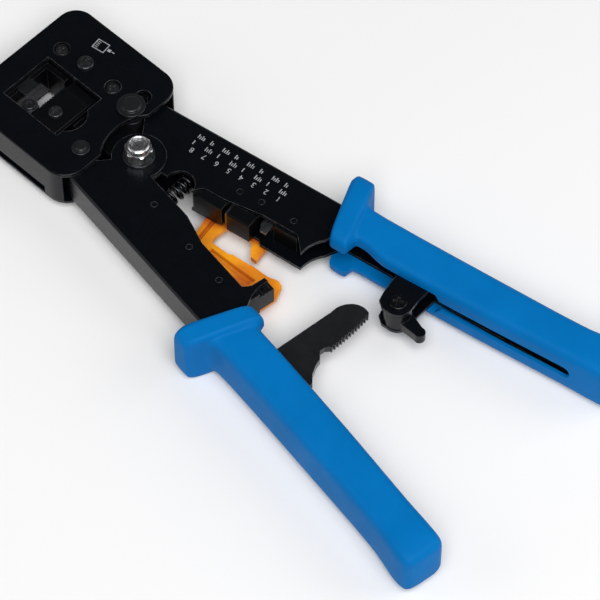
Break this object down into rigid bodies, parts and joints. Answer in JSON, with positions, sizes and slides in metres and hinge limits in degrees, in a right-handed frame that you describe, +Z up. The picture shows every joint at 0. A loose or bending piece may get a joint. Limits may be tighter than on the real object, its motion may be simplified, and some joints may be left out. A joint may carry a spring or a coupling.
{
  "type": "crimping tool",
  "caption": "Ratcheting hand crimper for modular cable plugs, with a plated head, two folded steel handles in long blue grips, a cable cutter and an orange guard.",
  "frame": {"origin": "middle of the bounding box at the height of the table, with the tool lying on its back", "axes": "+Y points along the tool to the nose of its head, +X to the handle that carries the pawl, +Z up out of the front face"},
  "size_m": [0.1002, 0.215, 0.0225],
  "materials": {
    "black_paint": "satin black paint on folded steel",
    "black_block": "matt black moulded and blackened blocks",
    "dark_steel": "blackened steel, slightly worn",
    "zinc": "bright zinc plate",
    "bright_steel": "ground tool steel",
    "spring_steel": "drawn spring wire",
    "blue_plastic": "satin blue moulded grip",
    "orange_plastic": "satin orange moulded guard"
  },
  "bodies": {
    "head": {"head_front_plate": "black_paint", "head_back_plate": "black_paint", "side_wall_left": "black_paint", "side_wall_right": "black_paint", "nest_block": "black_block", "trim_anvil": "dark_steel", "guide_block": "black_block", "guide_screws": "dark_steel", "stop_screw": "dark_steel", "back_screws": "dark_steel", "pivot_rivet": "dark_steel", "ram_return_spring": "spring_steel"},
    "ram": {"ram_block": "black_block", "crimp_punch": "dark_steel", "ram_cover": "black_block", "cover_screw": "dark_steel", "trim_blade": "bright_steel", "blade_screw": "dark_steel"},
    "left_handle": {"left_channel": "black_paint", "left_bushing": "dark_steel", "left_pins": "black_paint", "left_spring_seat": "black_block", "cable_guard": "orange_plastic", "end_stop": "black_block", "ratchet_arm": "dark_steel", "arm_rivets": "dark_steel", "arm_spacers": "dark_steel", "left_grip": "blue_plastic", "pivot_bolt": "zinc", "pivot_nut": "zinc", "pivot_washers": "dark_steel", "ram_roller": "dark_steel", "return_spring": "spring_steel"},
    "right_handle": {"right_channel": "black_paint", "right_bushing": "dark_steel", "slide_pin": "dark_steel", "slide_pin_cap": "dark_steel", "right_spring_seat": "black_block", "front_blade_block": "black_block", "middle_blade_block": "black_block", "rear_blade_block": "black_block", "stripper_blade": "bright_steel", "cutter_blade": "bright_steel", "block_pins": "black_paint", "pawl_pin": "black_block", "right_grip": "blue_plastic", "pawl_spring": "spring_steel"},
    "pawl": {"pawl": "black_paint"}
  },
  "joints": [
    {"name": "left_handle_swing", "type": "hinge", "parent": "head", "child": "left_handle", "pos_m": [-0.01085, 0.06625, 0.0102], "axis": [0, 0, 1], "range_deg": [0, 8.9], "deforming": ["return_spring"]},
    {"name": "right_handle_swing", "type": "hinge", "parent": "left_handle", "child": "right_handle", "pos_m": [0, 0.0521, 0.0102], "axis": [0, 0, 1], "range_deg": [-17.8, 0], "deforming": ["return_spring"]},
    {"name": "ram_slide", "type": "slide", "parent": "head", "child": "ram", "axis": [0, 1, 0], "range_m": [0, 0.00186], "deforming": ["ram_return_spring"]},
    {"name": "pawl_swing", "type": "hinge", "parent": "right_handle", "child": "pawl", "pos_m": [0.0155, -0.04102, 0.0102], "axis": [0, 0, 1], "range_deg": [-45, 6], "stiffness_Nm_per_rad": 0.02, "deforming": ["pawl_spring"]}
  ],
  "couplings": [
    {"joint": "right_handle_swing", "follows": "left_handle_swing", "ratio": -2},
    {"joint": "ram_slide", "follows": "left_handle_swing", "m_per_rad": 0.01192}
  ]
}
